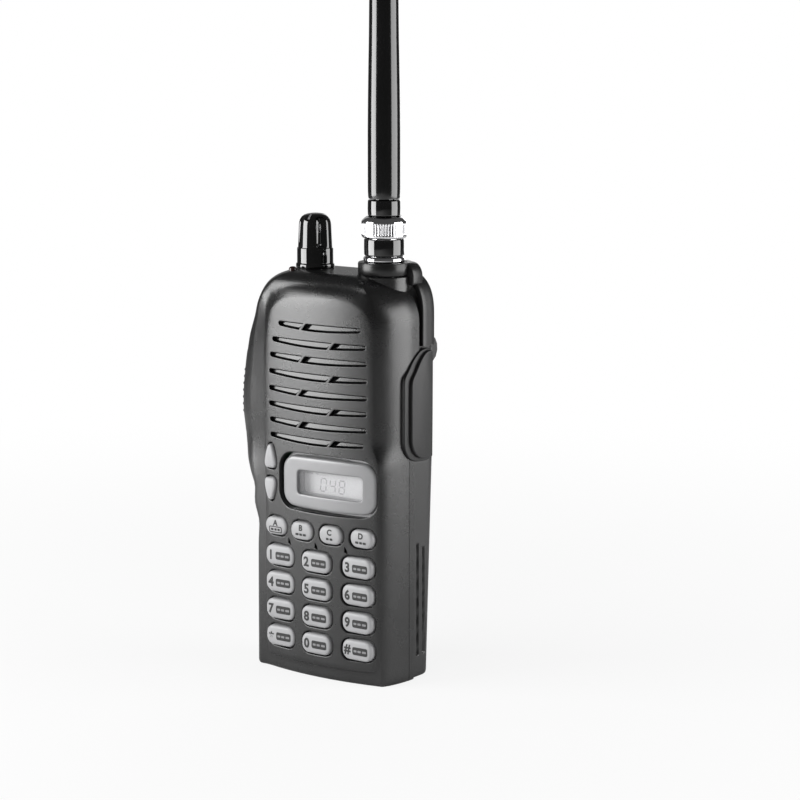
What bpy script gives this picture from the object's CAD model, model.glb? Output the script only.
"""Looks of a handheld two-way radio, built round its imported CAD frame.

Lengths in the tables below are millimetres; MM turns them into metres.
"""

import math

import bmesh
import bpy
import numpy as np
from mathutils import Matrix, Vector, geometry


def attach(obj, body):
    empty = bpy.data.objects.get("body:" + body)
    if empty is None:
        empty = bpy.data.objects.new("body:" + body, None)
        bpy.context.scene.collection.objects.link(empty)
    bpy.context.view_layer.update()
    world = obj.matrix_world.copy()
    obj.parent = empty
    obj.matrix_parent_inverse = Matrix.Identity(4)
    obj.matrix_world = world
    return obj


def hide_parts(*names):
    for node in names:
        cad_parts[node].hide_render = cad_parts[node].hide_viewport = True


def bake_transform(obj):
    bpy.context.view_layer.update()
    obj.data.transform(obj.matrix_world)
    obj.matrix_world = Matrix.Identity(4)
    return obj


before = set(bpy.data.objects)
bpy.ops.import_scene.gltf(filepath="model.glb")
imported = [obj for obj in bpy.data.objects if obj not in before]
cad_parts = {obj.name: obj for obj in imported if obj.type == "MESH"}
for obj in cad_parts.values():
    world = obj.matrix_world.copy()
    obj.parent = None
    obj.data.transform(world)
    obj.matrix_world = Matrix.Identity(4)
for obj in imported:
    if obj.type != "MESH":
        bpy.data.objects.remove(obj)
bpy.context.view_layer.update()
MM = 0.001

# ---------------------------------------------------------------- camera

AZIMUTH = math.radians(36.0)
PITCH = math.radians(9.5)
scene = bpy.context.scene
scene.view_settings.view_transform = "Standard"
scene.view_settings.look = "None"
lens = bpy.data.cameras.new("camera")
lens.lens = 112.5
lens.sensor_width = 36.0
camera = bpy.data.objects.new("camera", lens)
camera.location = (0.4826, -0.6346, 0.2226)
camera.rotation_euler = (math.pi / 2 - PITCH, 0.0, AZIMUTH)
scene.collection.objects.link(camera)
scene.camera = camera

# ---------------------------------------------------------------- stage and lights

TOWARDS = Vector((math.sin(AZIMUTH), -math.cos(AZIMUTH), 0.0))
SIDEWAYS = Vector((math.cos(AZIMUTH), math.sin(AZIMUTH), 0.0))
AIM = Vector((0.0, 0.0, 0.11))
FLOOR_GAP = 0.05 * MM


def soft_box(name, angle, height, distance, size, power, mirrored=True):
    """A rectangular light that faces the object, angle degrees round from the camera."""
    turn = math.radians(angle)
    lamp = bpy.data.lights.new(name, "AREA")
    lamp.shape = "RECTANGLE"
    lamp.size = size[0]
    lamp.size_y = size[1]
    lamp.energy = power
    box = bpy.data.objects.new(name, lamp)
    place = (TOWARDS * math.cos(turn) + SIDEWAYS * math.sin(turn)) * distance
    place.z = height
    box.location = place
    flat = Vector((AIM.x - place.x, AIM.y - place.y, 0.0))
    box.rotation_euler = flat.to_track_quat("-Z", "Y").to_euler()
    box.visible_camera = False
    box.visible_glossy = mirrored
    scene.collection.objects.link(box)


soft_box("left_box", -80.0, 0.21, 0.5, (0.38, 0.38), 3.6)
soft_box("right_box", 79.0, 0.2, 0.5, (0.46, 0.42), 2.7)
soft_box("back_box", 180.0, 0.5, 1.4, (1.2, 0.8), 0.9)
soft_box("rear_box", 162.0, 0.25, 0.9, (0.45, 0.45), 1.3)
soft_box("fill_box", -36.0, 0.45, 1.0, (0.8, 0.5), 4.4, False)


def link(tree, source, out, target, into):
    tree.links.new(source.outputs[out], target.inputs[into])


def build_floor():
    """Pale table that melts into a white surround away from the object."""
    bm = bmesh.new()
    bmesh.ops.create_circle(bm, cap_ends=True, segments=96, radius=30.0)
    data = bpy.data.meshes.new("floor")
    bm.to_mesh(data)
    bm.free()
    floor = bpy.data.objects.new("floor", data)
    scene.collection.objects.link(floor)
    look = bpy.data.materials.new("floor_pale")
    look.use_nodes = True
    tree = look.node_tree
    shader = tree.nodes["Principled BSDF"]
    shader.inputs["Base Color"].default_value = (0.86, 0.86, 0.86, 1.0)
    shader.inputs["Roughness"].default_value = 0.7
    shader.inputs["Specular IOR Level"].default_value = 0.2
    glow = tree.nodes.new("ShaderNodeEmission")
    glow.inputs["Color"].default_value = (1.0, 1.0, 1.0, 1.0)
    glow.inputs["Strength"].default_value = 1.0
    spot = tree.nodes.new("ShaderNodeTexCoord")
    reach = tree.nodes.new("ShaderNodeVectorMath")
    reach.operation = "LENGTH"
    fade = tree.nodes.new("ShaderNodeMapRange")
    fade.interpolation_type = "SMOOTHSTEP"
    fade.inputs["From Min"].default_value = 0.04
    fade.inputs["From Max"].default_value = 0.5
    fade.inputs["To Min"].default_value = 0.85
    path = tree.nodes.new("ShaderNodeLightPath")
    seen = tree.nodes.new("ShaderNodeMath")
    seen.operation = "MULTIPLY"
    blend = tree.nodes.new("ShaderNodeMixShader")
    link(tree, spot, "Object", reach, 0)
    link(tree, reach, "Value", fade, "Value")
    link(tree, fade, "Result", seen, 0)
    link(tree, path, "Is Camera Ray", seen, 1)
    link(tree, seen, "Value", blend, "Fac")
    link(tree, shader, "BSDF", blend, 1)
    link(tree, glow, "Emission", blend, 2)
    link(tree, blend, "Shader", tree.nodes["Material Output"], "Surface")
    data.materials.append(look)
    floor.location.z = -FLOOR_GAP


def build_world():
    world = bpy.data.worlds.new("studio")
    world.use_nodes = True
    tree = world.node_tree
    tree.nodes.clear()
    near = tree.nodes.new("ShaderNodeBackground")
    near.inputs["Color"].default_value = (0.07, 0.07, 0.07, 1.0)
    far = tree.nodes.new("ShaderNodeBackground")
    far.inputs["Color"].default_value = (1.0, 1.0, 1.0, 1.0)
    path = tree.nodes.new("ShaderNodeLightPath")
    blend = tree.nodes.new("ShaderNodeMixShader")
    out = tree.nodes.new("ShaderNodeOutputWorld")
    link(tree, path, "Is Camera Ray", blend, "Fac")
    link(tree, near, "Background", blend, 1)
    link(tree, far, "Background", blend, 2)
    link(tree, blend, "Shader", out, "Surface")
    scene.world = world


build_floor()
build_world()

# ---------------------------------------------------------------- materials


def finish_of(name, dark, light, rough, grain=0.0, depth=0.0, metal=0.0, coat=0.0, patch=60.0, gleam=0.5):
    """Moulded or turned surface: grain in the relief, slow drift in tone and in gloss.

    grain is the size of the relief in millimetres, depth its height in millimetres.
    """
    look = bpy.data.materials.new(name)
    look.use_nodes = True
    tree = look.node_tree
    shader = tree.nodes["Principled BSDF"]
    shader.inputs["Metallic"].default_value = metal
    shader.inputs["Specular IOR Level"].default_value = gleam
    shader.inputs["Coat Weight"].default_value = coat
    shader.inputs["Coat Roughness"].default_value = 0.06
    spot = tree.nodes.new("ShaderNodeTexCoord")
    drift = tree.nodes.new("ShaderNodeTexNoise")
    drift.inputs["Scale"].default_value = patch
    drift.inputs["Detail"].default_value = 5.0
    drift.inputs["Roughness"].default_value = 0.6
    tone = tree.nodes.new("ShaderNodeValToRGB")
    tone.color_ramp.elements[0].position = 0.3
    tone.color_ramp.elements[0].color = (*dark, 1.0)
    tone.color_ramp.elements[1].position = 0.7
    tone.color_ramp.elements[1].color = (*light, 1.0)
    gloss = tree.nodes.new("ShaderNodeMapRange")
    gloss.inputs["From Min"].default_value = 0.3
    gloss.inputs["From Max"].default_value = 0.7
    gloss.inputs["To Min"].default_value = rough * 0.88
    gloss.inputs["To Max"].default_value = min(rough * 1.12, 1.0)
    link(tree, spot, "Object", drift, "Vector")
    link(tree, drift, "Fac", tone, "Fac")
    link(tree, tone, "Color", shader, "Base Color")
    link(tree, drift, "Fac", gloss, "Value")
    link(tree, gloss, "Result", shader, "Roughness")
    if grain:
        relief = tree.nodes.new("ShaderNodeTexNoise")
        relief.inputs["Scale"].default_value = 1000.0 / grain
        relief.inputs["Detail"].default_value = 3.0
        relief.inputs["Roughness"].default_value = 0.55
        bump = tree.nodes.new("ShaderNodeBump")
        bump.inputs["Strength"].default_value = 1.0
        bump.inputs["Distance"].default_value = depth * MM
        link(tree, spot, "Object", relief, "Vector")
        link(tree, relief, "Fac", bump, "Height")
        link(tree, bump, "Normal", shader, "Normal")
    return look


def grey(value):
    return (value, value, value * 1.02)


CASE = finish_of("case_satin", grey(0.005), grey(0.008), 0.28, 0.45, 0.05, gleam=0.72)
PACK = finish_of("pack_satin", grey(0.009), grey(0.012), 0.34, 0.3, 0.005, gleam=0.7)
GLOSS = finish_of("gloss_black", grey(0.002), grey(0.003), 0.05, 4.0, 0.002, patch=200.0, gleam=1.0)
RUBBER = finish_of("rubber_black", grey(0.009), grey(0.013), 0.38, 0.25, 0.005, gleam=0.42)
STRAP = finish_of("strap_rubber", grey(0.006), grey(0.009), 0.3, 0.3, 0.004, gleam=0.48)
SHEATH = finish_of("sheath_black", grey(0.002), grey(0.003), 0.13, 1.2, 0.003, gleam=0.85)
KEY = finish_of("key_grey", grey(0.3), grey(0.34), 0.42, 0.3, 0.004)
PRINT = finish_of("print_dark", grey(0.012), grey(0.018), 0.5, 0.2, 0.002)
PRINT_PALE = finish_of("print_pale", grey(0.18), grey(0.22), 0.5, 0.2, 0.002)
BEZEL = finish_of("bezel_grey", grey(0.22), grey(0.25), 0.3, 0.2, 0.003, metal=0.2)
LCD = finish_of("lcd_panel", grey(0.4), grey(0.44), 0.35, 0.4, 0.001)
SEGMENT = finish_of("lcd_segment", grey(0.22), grey(0.26), 0.4, 0.4, 0.001)
CHROME = finish_of("chrome", grey(0.8), grey(0.86), 0.07, 0.4, 0.001, metal=1.0)
STEEL = finish_of("steel", grey(0.5), grey(0.6), 0.3, 0.2, 0.004, metal=1.0)
BRASS = finish_of("brass", (0.6, 0.44, 0.2), (0.7, 0.53, 0.26), 0.3, 0.2, 0.004, metal=1.0)
BOARD = finish_of("board_green", (0.02, 0.13, 0.05), (0.03, 0.18, 0.08), 0.45, 0.6, 0.02)
CLOTH = finish_of("cloth_black", grey(0.003), grey(0.006), 0.95, 0.35, 0.12)
LAMP = finish_of("lamp_smoked", (0.012, 0.004, 0.004), (0.018, 0.006, 0.005), 0.2, 3.0, 0.002, coat=0.3)
SLEEVE = finish_of("cell_sleeve", (0.04, 0.09, 0.24), (0.06, 0.12, 0.3), 0.35, 0.4, 0.004)
MAT = finish_of("mat_white", grey(0.5), grey(0.58), 0.6, 0.3, 0.01)


def clear_finish():
    look = finish_of("clear_window", grey(0.8), grey(0.86), 0.05, 2.0, 0.001)
    look.node_tree.nodes["Principled BSDF"].inputs["Alpha"].default_value = 0.08
    return look


CLEAR = clear_finish()
SLOT_LOOKS = {
    "case_black": CASE, "pack_black": PACK, "gloss_black": GLOSS, "key_grey": KEY,
    "bezel_grey": BEZEL, "clear_window": CLEAR, "display_glass": LCD,
    "rubber_black": RUBBER, "chrome": CHROME, "brass": BRASS, "board_green": BOARD,
    "cloth_black": CLOTH, "steel": STEEL, "lamp_red": LAMP, "cell_sleeve": SLEEVE,
    "white_plastic": MAT,
}


SOFT_EDGES = {"clip_arm": 0.3, "clip_plate": 0.25, "battery_latch": 0.25}


def dress_frame():
    """Every CAD node takes the finish of its material slot, and the rear metal gets soft edges."""
    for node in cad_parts.values():
        for slot in node.material_slots:
            name = slot.material.name.split(".")[0] if slot.material else ""
            slot.material = SLOT_LOOKS.get(name, CASE)
    for name, width in SOFT_EDGES.items():
        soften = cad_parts[name].modifiers.new("edges", "BEVEL")
        soften.width = width * MM
        soften.segments = 2
        soften.angle_limit = math.radians(35.0)


# ---------------------------------------------------------------- mesh helpers


class Skin:
    """Collects points in millimetres and faces, then makes one smooth mesh piece."""

    def __init__(self):
        self.points = []
        self.faces = []

    def add(self, points, faces):
        base = len(self.points)
        self.points.extend(points)
        self.faces.extend(tuple(base + i for i in face) for face in faces)

    def lattice(self, rows, closed=False):
        """Quads between neighbouring rows, which all have the same number of points."""
        count = len(rows[0])
        points = [p for row in rows for p in row]
        faces = []
        for r in range(len(rows) - 1):
            for i in range(count if closed else count - 1):
                j = (i + 1) % count
                faces.append((r * count + i, r * count + j, (r + 1) * count + j, (r + 1) * count + i))
        self.add(points, faces)

    def cap(self, ring):
        self.add(ring, [tuple(range(len(ring)))])

    def solid(self, rings):
        self.lattice(rings, True)
        self.cap(rings[0])
        self.cap(rings[-1])

    def make(self, name, body, look, stands_for=(), crease=42.0):
        data = bpy.data.meshes.new(name)
        data.from_pydata([Vector(p) * MM for p in self.points], [], self.faces)
        bm = bmesh.new()
        bm.from_mesh(data)
        bmesh.ops.remove_doubles(bm, verts=bm.verts, dist=0.002 * MM)
        bmesh.ops.dissolve_degenerate(bm, edges=bm.edges, dist=0.0005 * MM)
        bmesh.ops.recalc_face_normals(bm, faces=bm.faces)
        bm.to_mesh(data)
        bm.free()
        data.shade_smooth()
        data.set_sharp_from_angle(angle=math.radians(crease))
        data.materials.append(look)
        piece = bpy.data.objects.new(name, data)
        scene.collection.objects.link(piece)
        if body:
            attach(piece, body)
        if stands_for:
            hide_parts(*stands_for)
        return piece


def smooth_step(value):
    value = min(max(value, 0.0), 1.0)
    return value * value * (3.0 - 2.0 * value)


def between(low, high, count):
    return [low + (high - low) * k / count for k in range(count + 1)]


def curve_through(rows, z):
    """Smooth curve through (z, value) rows that never overshoots them."""
    if z <= rows[0][0]:
        return rows[0][1]
    if z >= rows[-1][0]:
        return rows[-1][1]
    slopes = [(b[1] - a[1]) / (b[0] - a[0]) for a, b in zip(rows, rows[1:])]
    tangents = [slopes[0]]
    for before, after in zip(slopes, slopes[1:]):
        flat = before * after <= 0
        tangents.append(0.0 if flat else 2.0 * before * after / (before + after))
    tangents.append(slopes[-1])
    for i, (a, b) in enumerate(zip(rows, rows[1:])):
        if z <= b[0]:
            span = b[0] - a[0]
            t = (z - a[0]) / span
            return (
                a[1] * (1 + 2 * t) * (1 - t) ** 2
                + tangents[i] * span * t * (1 - t) ** 2
                + b[1] * t * t * (3 - 2 * t)
                + tangents[i + 1] * span * t * t * (t - 1)
            )
    return rows[-1][1]


def rounded(cx, cz, width, height, radius, bow=0.0, steps=6, most=1.0):
    """Rounded rectangle; bow swells its top and bottom edges, most is its longest step."""
    radius = max(min(radius, width / 2 - 0.01, height / 2 - 0.01), 0.02)
    outline = []
    for sx, sz, start in ((1, 1, 0), (-1, 1, 90), (-1, -1, 180), (1, -1, 270)):
        for k in range(steps + 1):
            turn = math.radians(start + 90.0 * k / steps)
            x = sx * (width / 2 - radius) + radius * math.cos(turn)
            z = sz * (height / 2 - radius) + radius * math.sin(turn)
            outline.append((x, z))
    outline = dense(outline, most)
    shaped = []
    for x, z in outline:
        swell = bow * (1.0 - (2.0 * x / width) ** 2) * (2.0 * z / height)
        shaped.append((cx + x, cz + z + swell))
    return shaped


def dense(outline, most):
    """The closed outline with every side cut into steps no longer than most."""
    made = []
    for a, b in zip(outline, outline[1:] + outline[:1]):
        steps = max(1, math.ceil(math.dist(a, b) / most))
        for k in range(steps):
            made.append((a[0] + (b[0] - a[0]) * k / steps, a[1] + (b[1] - a[1]) * k / steps))
    return made


def grown(outline, amount):
    """The anticlockwise outline moved outward by amount along its corners' bisectors."""
    made = []
    count = len(outline)
    for i in range(count):
        a, b, c = outline[i - 1], outline[i], outline[(i + 1) % count]
        one = Vector((b[1] - a[1], a[0] - b[0])).normalized()
        two = Vector((c[1] - b[1], b[0] - c[0])).normalized()
        mean = (one + two).normalized()
        reach = amount / max(mean.dot(one), 0.5)
        made.append((b[0] + mean.x * reach, b[1] + mean.y * reach))
    return made


def inside(points, outline):
    """Which of the points lie in the closed outline."""
    x, z = points[:, 0], points[:, 1]
    hit = np.zeros(len(points), bool)
    ring = np.array(outline)
    for (ax, az), (bx, bz) in zip(ring, np.roll(ring, -1, axis=0)):
        if az == bz:
            continue
        crosses = (az > z) != (bz > z)
        hit ^= crosses & (x < (bx - ax) * (z - az) / (bz - az) + ax)
    return hit


def distance_to(points, outline):
    """How far each point is from the closed outline, positive inside it."""
    best = np.full(len(points), 1e9)
    ring = np.array(outline)
    for a, b in zip(ring, np.roll(ring, -1, axis=0)):
        side = b - a
        size = max(float(side @ side), 1e-12)
        along = np.clip(((points - a) @ side) / size, 0.0, 1.0)
        best = np.minimum(best, np.hypot(*(points - a - along[:, None] * side).T))
    return np.where(inside(points, outline), best, -best)


def fill(outer, holes, guides, spots):
    """Triangles over the outer outline, without the holes, through guide loops and spots."""
    points = []
    edges = []
    for loop in [outer] + holes + guides:
        base = len(points)
        points.extend(loop)
        edges.extend((base + i, base + (i + 1) % len(loop)) for i in range(len(loop)))
    fixed = np.array(points)
    loose = np.array(spots) if len(spots) else np.zeros((0, 2))
    if len(loose):
        keep = [bool(np.min(np.sum((fixed - p) ** 2, axis=1)) > 0.3) for p in loose]
        loose = loose[np.array(keep)]
        points = points + [tuple(p) for p in loose]
    found = geometry.delaunay_2d_cdt([Vector(p) for p in points], edges, [], 0, 1e-5)
    flat = np.array([tuple(p) for p in found[0]])
    faces = np.array([tuple(face) for face in found[2]])
    middles = flat[faces].mean(axis=1)
    keep = inside(middles, outer)
    for hole in holes:
        keep &= ~inside(middles, hole)
    return flat, faces[keep]


# ---------------------------------------------------------------- body shape

# x runs to the right, y to the back and z upward from the foot. FRONT is the y of the raised
# panel on the middle line, and DROP is how far the face round the panel lies behind it.
HEIGHT = 131.2
FRONT = -16.0
DROP = 0.6
SHOULDER = 14.0
EDGE = 6.0
RIGHT = 25.5
CORNER = 5.0
LOW_SEAM = -1.7
HIGH_SEAM = 3.5
PACK_TOP = 72.4
CAP = 129.4
GAP = 0.3
FACE_LOW = 1.2
FACE_HIGH = HEIGHT - EDGE
# (z, how far out): the left flank, and below what the swollen grip adds to it.
LEFT_PROFILE = (
    (0.0, 28.0), (30.0, 28.0), (52.0, 28.1), (57.0, 28.9), (64.0, 30.6), (72.0, 32.4),
    (78.0, 33.9), (84.5, 34.6), (96.0, 34.0), (108.0, 32.2), (118.0, 29.6), (132.0, 28.8),
)
# Outline of the raised panel in x and z, anticlockwise.
PANEL_LINE = (
    (-20.5, 4.6), (0.0, 4.3), (20.5, 4.6), (22.3, 6.4), (22.85, 9.0), (22.85, 30.0),
    (22.85, 71.0), (22.6, 73.2), (21.9, 75.2), (21.1, 77.2), (20.65, 79.0), (20.65, 95.0),
    (20.6, 112.0), (20.3, 116.0), (19.3, 119.1), (17.4, 121.5), (14.2, 122.9), (9.0, 123.6),
    (2.0, 123.8), (-5.0, 123.6), (-11.5, 123.1), (-15.6, 122.0), (-18.6, 120.0),
    (-20.4, 117.6), (-21.6, 112.5), (-22.4, 106.0), (-22.9, 98.0), (-23.0, 85.0),
    (-23.0, 60.0), (-23.0, 30.0), (-23.0, 9.0), (-22.4, 6.4),
)
# Low down the panel ends in a step over RAMP each way; higher up the face falls away from it with
# the slope FALL instead. The one gives way to the other from UPPER_FROM, over UPPER_OVER.
RAMP = 0.34
FALL = 0.5
FALL_SOFT = 1.1
FALL_MOST = 3.8
BOW = 0.005
BOW_END = 23.0
UPPER_FROM = 62.0
UPPER_OVER = 18.0
# The flanks' front corners: BORDER is where the right one begins, and the pairs after it are a
# reach and what the swell of the left flank adds to it or takes from it.
BORDER = (20.3, 2.2)
BORDER_FROM = 78.4
BORDER_OVER = 6.8
LEFT_ACROSS = (4.0, 0.45)
LEFT_BACK = (8.0, 0.2)
RIGHT_INSET = 0.7
RIGHT_BACK = 13.6
REAR_LOW = 12.3
REAR_LEAN = 3.1
REAR_MOST = 15.4
FOOT_PULL = 0.8
LEFT_GROWTH = (
    (0.0, 1.8), (40.0, 1.4), (47.5, 0.9), (54.0, 2.8), (60.0, 1.6), (65.0, 2.6), (69.0, 3.2), (73.0, 3.1),
    (78.0, 2.8), (84.0, 2.9), (91.0, 3.0), (97.0, 2.8), (102.0, 2.7), (108.0, 2.6), (113.0, 2.4),
    (118.0, 2.0), (124.0, 1.4), (132.0, 1.2),
)
# Degrees the corners have already turned where they leave the face, and the right flank's bulge.
LEFT_START = 35.0
RIGHT_START = 44.0
RIGHT_LOW = 24.0
RIGHT_PROUD = 1.0
PROUD_FROM = 116.0
PROUD_OVER = 12.0


def rounded_line(corners, most):
    """Closed smooth line through the corners, by Catmull and Rom's rule."""
    made = []
    count = len(corners)
    for i in range(count):
        p = [Vector(corners[(i + k) % count]) for k in (-1, 0, 1, 2)]
        steps = max(2, math.ceil((p[2] - p[1]).length / most))
        start = (p[2] - p[0]) * 0.5 * min(1.0, 2.0 * (p[2] - p[1]).length / (p[2] - p[0]).length)
        end = (p[3] - p[1]) * 0.5 * min(1.0, 2.0 * (p[2] - p[1]).length / (p[3] - p[1]).length)
        for k in range(steps):
            t = k / steps
            spot = (
                p[1] * (1 + 2 * t) * (1 - t) ** 2 + start * t * (1 - t) ** 2
                + p[2] * t * t * (3 - 2 * t) + end * t * t * (t - 1)
            )
            made.append((spot.x, spot.y))
    return made


PANEL = rounded_line(PANEL_LINE, 1.2)


def bow(x):
    """How far the front falls back from its middle line."""
    reach = min(abs(x), BOW_END)
    return BOW * reach * reach


def set_back(spots):
    """How far the face at flat (x, z) spots lies behind the panel, which stands proud of it."""
    spots = np.asarray(spots, float)
    out = np.minimum(-distance_to(spots, PANEL), FALL_MOST)
    upper = np.clip((spots[:, 1] - UPPER_FROM) / UPPER_OVER, 0.0, 1.0)
    upper = upper * upper * (3.0 - 2.0 * upper)
    step = np.clip((out + RAMP) / (2 * RAMP), 0.0, 1.0)
    step = DROP * step * step * (3.0 - 2.0 * step)
    soft = np.clip(out + FALL_SOFT, 0.0, 2 * FALL_SOFT)
    slope = FALL * (soft * soft / (4 * FALL_SOFT) + np.maximum(out - FALL_SOFT, 0.0))
    return step * (1.0 - upper) + slope * upper


def side_at(base, z):
    """Half width at this height, drawn in round the shoulder."""
    rise = z - (HEIGHT - SHOULDER)
    if rise <= 0:
        return base
    return base - SHOULDER + math.sqrt(max(SHOULDER * SHOULDER - rise * rise, 0.0))


def roll_at(z):
    """How far the front and back are drawn in round the top edge."""
    rise = z - (HEIGHT - EDGE)
    if rise <= 0:
        return 0.0
    return EDGE - math.sqrt(max(EDGE * EDGE - rise * rise, 0.0))


def left_edge(z):
    """How far the left flank stands out at this height."""
    return curve_through(LEFT_PROFILE, z) + curve_through(LEFT_GROWTH, z)


class Section:
    """The body's outline at one height, pulled in by inset near the foot."""

    def __init__(self, z, inset=0.0):
        full = left_edge(z)
        swell = full - left_edge(0.0)
        border = BORDER[0] + BORDER[1] * smooth_step((BORDER_FROM - z) / BORDER_OVER)
        roll = roll_at(z)
        self.z = z
        self.left = side_at(full, z) - inset
        self.right = side_at(RIGHT, z) - inset
        left_across = LEFT_ACROSS[0] + LEFT_ACROSS[1] * swell
        left_back = LEFT_BACK[0] - LEFT_BACK[1] * swell
        self.left_reach = (left_across - inset, left_back - inset)
        self.proud = RIGHT_PROUD * (1.0 - smooth_step((z - PROUD_FROM) / PROUD_OVER))
        self.right_reach = (RIGHT - border - RIGHT_INSET - inset + self.proud, RIGHT_BACK - inset)
        self.first = -(self.left - self.left_reach[0])
        self.last = self.right + self.proud - self.right_reach[0]
        self.front = FRONT + roll + inset
        self.rear = min(REAR_LOW + REAR_LEAN * z / PACK_TOP, REAR_MOST) - roll - inset
        self.corner = CORNER - inset
        self.starts = {}

    def face(self, x):
        return self.faces([x])[0]

    def faces(self, xs):
        """Points of the front face at these x, taken from the flat face below its roll."""
        backs = set_back([(x, max(self.z, FACE_LOW)) for x in xs])
        return [(x, self.front + bow(x) + back, self.z) for x, back in zip(xs, backs)]

    def start(self, side):
        """Depth y and turn in radians at which a front corner begins, worked out once."""
        if side not in self.starts:
            rise = smooth_step((self.z - UPPER_FROM) / UPPER_OVER)
            if side < 0:
                turn = LEFT_START * rise
            else:
                turn = RIGHT_LOW + (RIGHT_START - RIGHT_LOW) * rise
            edge = self.first if side < 0 else self.last
            self.starts[side] = (self.face(edge)[1], math.radians(turn))
        return self.starts[side]

    def quarter(self, side, t):
        """From the front face at t = 0 to the flat of the side at t = 1."""
        reach = self.left_reach if side < 0 else self.right_reach
        edge = self.first if side < 0 else self.last
        start, first = self.start(side)
        turn = first + (math.pi / 2 - first) * t
        across = (math.sin(turn) - math.sin(first)) / (1.0 - math.sin(first))
        x = edge + side * reach[0] * across
        y = start + reach[1] * (math.cos(first) - math.cos(turn)) / math.cos(first)
        return (x, y, self.z)

    def left_at(self, y):
        """Where the left side stands at depth y, round its front corner too."""
        start, first = self.start(-1)
        depth = min(max(y - start, 0.0) / self.left_reach[1], 1.0)
        turn = math.acos(max(math.cos(first) * (1.0 - depth), 0.0))
        across = (math.sin(turn) - math.sin(first)) / (1.0 - math.sin(first))
        return self.first - self.left_reach[0] * across

    def flank(self, side):
        return -self.left if side < 0 else self.right

    def heel(self, side, t):
        """Round the rear corner, from the side at t = 0 to the back at t = 1."""
        turn = math.radians(90.0 * t)
        x = self.flank(side) - side * self.corner * (1.0 - math.cos(turn))
        return (x, self.rear - self.corner * (1.0 - math.sin(turn)), self.z)

    def front_side(self, side, seam):
        """From the front face back to the seam."""
        row = [self.quarter(side, t) for t in between(0.0, 1.0, 14)]
        start = row[-1][1]
        row += [(row[-1][0], start + (seam - start) * k / 3, self.z) for k in (1, 2, 3)]
        return row

    def rear_side(self, side, seam, steps=4):
        """From the seam round the corner to the middle of the back."""
        stop = self.rear - self.corner
        row = [(self.flank(side), seam + (stop - seam) * k / steps, self.z) for k in range(steps)]
        row += [self.heel(side, t) for t in between(0.0, 1.0, 10)]
        start = row[-1][0]
        row += [(start * (1 - k / 6), self.rear, self.z) for k in range(1, 7)]
        return row


QUARTER = [math.radians(a) for a in (0, 22.5, 45, 67.5, 90)]
FOOT_RISE = [(FACE_LOW * (1 - math.cos(a)), FOOT_PULL * (1 - math.sin(a))) for a in QUARTER]
TOP_RISE = [FACE_HIGH + EDGE * math.sin(math.radians(a)) for a in between(0.0, 90.0, 14)]
STEP = PACK_TOP + GAP
MID_RISE = between(FACE_LOW, STEP, 42)[:-1] + between(STEP, FACE_HIGH, 36)


def inward(ring, side, by):
    """The points moved towards the middle plane from the flank on this side."""
    return [(x - side * by, y, z) for x, y, z in ring]


def face_points(flat):
    """Front face points for the flat (x, z) points, with the raised panel."""
    return [(x, FRONT + bow(x) + back, z) for (x, z), back in zip(flat, set_back(flat))]


# ---------------------------------------------------------------- front case

# (z, left end, right end, x of the slanted rib) of each speaker slot.
SLOTS = (
    (114.7, -15.9, 16.9, -5.4), (109.3, -18.9, 18.5, 5.8),
    (104.2, -20.1, 19.0, -5.9), (98.8, -20.6, 19.0, 5.4),
    (93.3, -20.7, 19.0, -7.0), (88.2, -20.8, 18.9, 5.6),
    (83.0, -20.4, 18.8, -7.0), (78.0, -20.2, 17.8, 5.6),
)
SLOT_RISE = 0.75
SLOT_ENDS = 1.45
SLOT_SWELL = 0.8
SLOT_SLIT = 0.66
SLOT_GROOVE = 0.27
SLOT_FLOOR = (0.55, 0.3)
SLOT_HOLE = 1.4
SLANT = 1.9
RIB = 1.15
NUMBER_X = (-15.6, 0.0, 15.6)
LETTER_X = (-17.3, -5.8, 5.8, 17.3)
NUMBER_Z = 38.5
LETTER_Z = 48.1
ROW_PITCH = 9.0
NOTCH_X = (-11.6, -0.2, 11.3)
NUMBER_KEY = (11.6, 6.4)
LETTER_KEY = (8.8, 5.6)
KEY_RADIUS = 2.6
ARROW_X = -20.1
ARROWS = {"up": (66.9, 74.8), "down": (56.3, 63.8)}
ARROW_HALF = 2.3
DISPLAY = (3.9, 64.0)
DISPLAY_HOLE = (3.2, 64.0, 38.6, 18.0)
DISPLAY_RADIUS = 5.5
DISPLAY_BOW = 0.6
KEY_GAP = 0.5
WELL = 4.2
LIP = 0.28
THIN_LIP = LIP * 0.6
SLOT_DEEP = 1.9
SLOT_TIP = 0.6
SLOT_BACK = 2.4
NOTCH_DEEP = 0.9
ACROSS = 24
FLANGE = 1.5
# Knob's and aerial's seats: x, y, radius, top.
COLLARS = ((-13.85, 2.1, 6.8, 131.05), (13.85, 2.1, 8.7, 130.7))
COLLAR_FOOT = 124.0


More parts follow.
